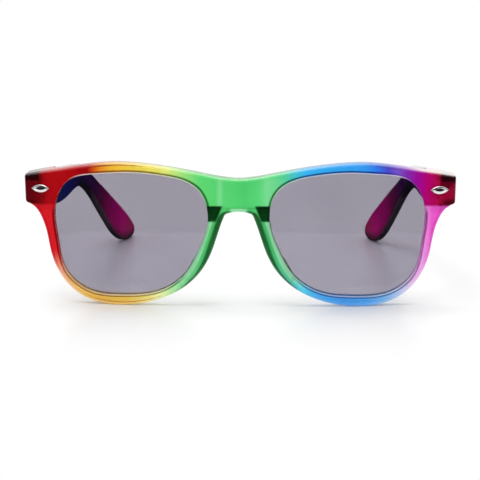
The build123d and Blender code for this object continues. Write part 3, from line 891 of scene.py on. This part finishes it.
# At a glance along the arm the dye's depth hides both the sheen and what lies behind.
SHEEN = ((0.5, ("glance", 0.55, 0.2)), (0.5, ("facing up", 0.5, 0.8)))
SEEN_THROUGH = (1.0, ("glance", 0.15, 0.55, 0.5, 0.02))
TEMPLE_SMUDGE = 8.0 * MM
TEMPLE_GLOSS = (0.04, 0.12)
roughness, normal = polish_wear(
    tree, place.outputs["Object"], TEMPLE_SMUDGE, SCRATCH_GLOSS, TEMPLE_GLOSS, POLISH_WAVE
)
finish_material(
    tree,
    Base_Color=temple_colour,
    Roughness=roughness,
    Normal=normal,
    IOR=1.5,
    Transmission_Weight=strength(tree, measures, SEEN_THROUGH),
    Specular_IOR_Level=strength(tree, measures, *SHEEN),
)
for side in ("left", "right"):
    dress(side + "_temple", temple_plastic)

# The table, the room's light and the camera
# A white table top that fades into a white backdrop, a wide soft box above it, and a darker room
# behind the camera, which stands in front of the glasses and a little above them.
TABLE_REACH = 3.0
# A ray's kind is 0 or 1, so these limits turn a mark off or on.
SEEN = ("Is Camera Ray", 0.0, 1.0)
DULL = ("Is Diffuse Ray", 0.0, 1.0)
MIRRORED = ("Is Glossy Ray", 0.0, 1.0)
LET_THROUGH = ("Is Transmission Ray", 0.0, 1.0)
NEVER_MIRRORED = ("Glossy Depth", 1.0, 0.0)
# Off the glasses' footprint, in millimetres, the table turns from a lit top into a plain glow: soon
# for the rays that mirrors send there, and later for those that see it.
FOOTPRINT_HALF = 74.0
TABLE_FADES = (
    (1.0, SEEN, ("off footprint", 12.0, 75.0)),
    (1.0, LET_THROUGH, ("off footprint", 12.0, 75.0)),
    (1.0, MIRRORED, ("off footprint", 2.0, 18.0)),
)
# What the glasses mirror of the table is dim towards the dark room in front and white behind.
# Light that a lens turns back inside leaves it as a transmitted ray, and meets the same room.
TABLE_GLOW = (
    (1.0, SEEN),
    (1.0, ("back", -80.0, 0.0, 0.02, 1.0)),
    (1.0, LET_THROUGH, ("back", -170.0, -75.0, 0.05, 1.0)),
    (1.0, LET_THROUGH, NEVER_MIRRORED),
)

table_white, tree, place = start_material("white laminate, satin")
in_mm = add(tree, "ShaderNodeVectorMath", {"operation": "SCALE"}, i0=place.outputs["Object"], Scale=1 / MM)
axes = add(tree, "ShaderNodeSeparateXYZ", Vector=in_mm.outputs["Vector"])
off_footprint = add(tree, "ShaderNodeVectorMath", {"operation": "ABSOLUTE"}, i0=in_mm.outputs["Vector"])
for operation, amount in (("SUBTRACT", FOOTPRINT_HALF), ("MAXIMUM", 0.0)):
    off_footprint = add(
        tree,
        "ShaderNodeVectorMath",
        {"operation": operation},
        i0=off_footprint.outputs["Vector"],
        i1=[amount] * 3,
    )
distance = add(tree, "ShaderNodeVectorMath", {"operation": "LENGTH"}, i0=off_footprint.outputs["Vector"])
path = add(tree, "ShaderNodeLightPath")
measures = {ray.name: ray for ray in path.outputs}
measures["back"] = axes.outputs["Y"]
measures["off footprint"] = distance.outputs["Value"]
paint = add(
    tree,
    "ShaderNodeBsdfPrincipled",
    Base_Color=linear("FCFCFC"),
    Roughness=0.3,
    Specular_IOR_Level=0.25,
)
backdrop = add(
    tree,
    "ShaderNodeEmission",
    Color=linear("FFFFFF"),
    Strength=strength(tree, measures, *TABLE_GLOW),
)
faded = add(
    tree,
    "ShaderNodeMixShader",
    i0=strength(tree, measures, *TABLE_FADES),
    i1=paint.outputs["BSDF"],
    i2=backdrop.outputs["Emission"],
)
add(tree, "ShaderNodeOutputMaterial", Surface=faded.outputs["Shader"])
table_mesh = bpy.data.meshes.new("table_top")
corners = [(x * TABLE_REACH, y * TABLE_REACH, 0) for x, y in ((-1, -1), (1, -1), (1, 1), (-1, 1))]
table_mesh.from_pydata(corners, [], [(0, 1, 2, 3)])
table_mesh.materials.append(table_white)
table_top = bpy.data.objects.new("table_top", table_mesh)
bpy.context.scene.collection.objects.link(table_top)

# The room by the direction of a ray: white to look at, plain on dull faces, and in mirrored faces
# the backdrop and a long window high in front. Clear faces let the backdrop through, dimmer high
# up, and show the dark room in front only by light that a lens has turned back inside.
CEILING = ("above", 0.35, 0.75, 1.0, 0.6)
ROOM_LIGHT = (
    (1.0, SEEN),
    (0.8, DULL),
    (1.0, MIRRORED, ("behind", -0.35, 0.35, 0.05, 1.0)),
    (0.95, MIRRORED, ("above", 0.08, 0.26)),
    (1.0, LET_THROUGH, CEILING, ("behind", -0.35, 0.0, 0.05, 1.0)),
    (1.0, LET_THROUGH, CEILING, NEVER_MIRRORED),
)

world = bpy.data.worlds.new("white studio")
bpy.context.scene.world = world
world.use_nodes = True
tree = world.node_tree
tree.nodes.clear()
path = add(tree, "ShaderNodeLightPath")
direction = add(tree, "ShaderNodeTexCoord")
heading = add(tree, "ShaderNodeSeparateXYZ", Vector=direction.outputs["Generated"])
measures = {ray.name: ray for ray in path.outputs}
measures["behind"] = heading.outputs["Y"]
measures["above"] = heading.outputs["Z"]
sky = add(
    tree,
    "ShaderNodeBackground",
    Color=linear("FFFFFF"),
    Strength=strength(tree, measures, *ROOM_LIGHT),
)
add(tree, "ShaderNodeOutputWorld", Surface=sky.outputs["Background"])

SOFT_BOX_WIDTH = 0.7
SOFT_BOX_DEPTH = 0.5
SOFT_BOX_WATTS = 3.0
SOFT_BOX_PLACE = Vector((-0.12, -0.10, 0.8))
SOFT_BOX_AIM = Vector((0.0, 0.0, 0.02))
soft_box_light = bpy.data.lights.new("soft box", "AREA")
soft_box_light.shape = "RECTANGLE"
soft_box_light.size = SOFT_BOX_WIDTH
soft_box_light.size_y = SOFT_BOX_DEPTH
soft_box_light.energy = SOFT_BOX_WATTS
soft_box = bpy.data.objects.new("soft_box", soft_box_light)
soft_box.location = SOFT_BOX_PLACE
soft_box.rotation_mode = "QUATERNION"
soft_box.rotation_quaternion = (SOFT_BOX_AIM - SOFT_BOX_PLACE).to_track_quat("-Z", "Y")
bpy.context.scene.collection.objects.link(soft_box)

# The camera stands 400 mm in front of the bridge, at the photo's angle. Its focal length, in pixels
# of the square picture, lets the glasses fill the picture's width.
BRIDGE_FACE_Y = -72.74 * MM
CAMERA_DISTANCE = 400.0 * MM
CAMERA_PLACE = Vector((13.5 * MM, BRIDGE_FACE_Y - CAMERA_DISTANCE, 92.89 * MM))
CAMERA_AIM = Vector((0.5 * MM, BRIDGE_FACE_Y, 23.53 * MM))
SENSOR_WIDTH = 36.0
PICTURE_WIDTH = 480.0
FOCAL_PIXELS = 1221.0
lens_and_sensor = bpy.data.cameras.new("camera")
lens_and_sensor.sensor_width = SENSOR_WIDTH
lens_and_sensor.lens = SENSOR_WIDTH * FOCAL_PIXELS / PICTURE_WIDTH
camera = bpy.data.objects.new("camera", lens_and_sensor)
camera.location = CAMERA_PLACE
camera.rotation_mode = "QUATERNION"
camera.rotation_quaternion = (CAMERA_AIM - CAMERA_PLACE).to_track_quat("-Z", "Y")
bpy.context.scene.collection.objects.link(camera)
bpy.context.scene.camera = camera
bpy.context.scene.view_settings.view_transform = "Standard"
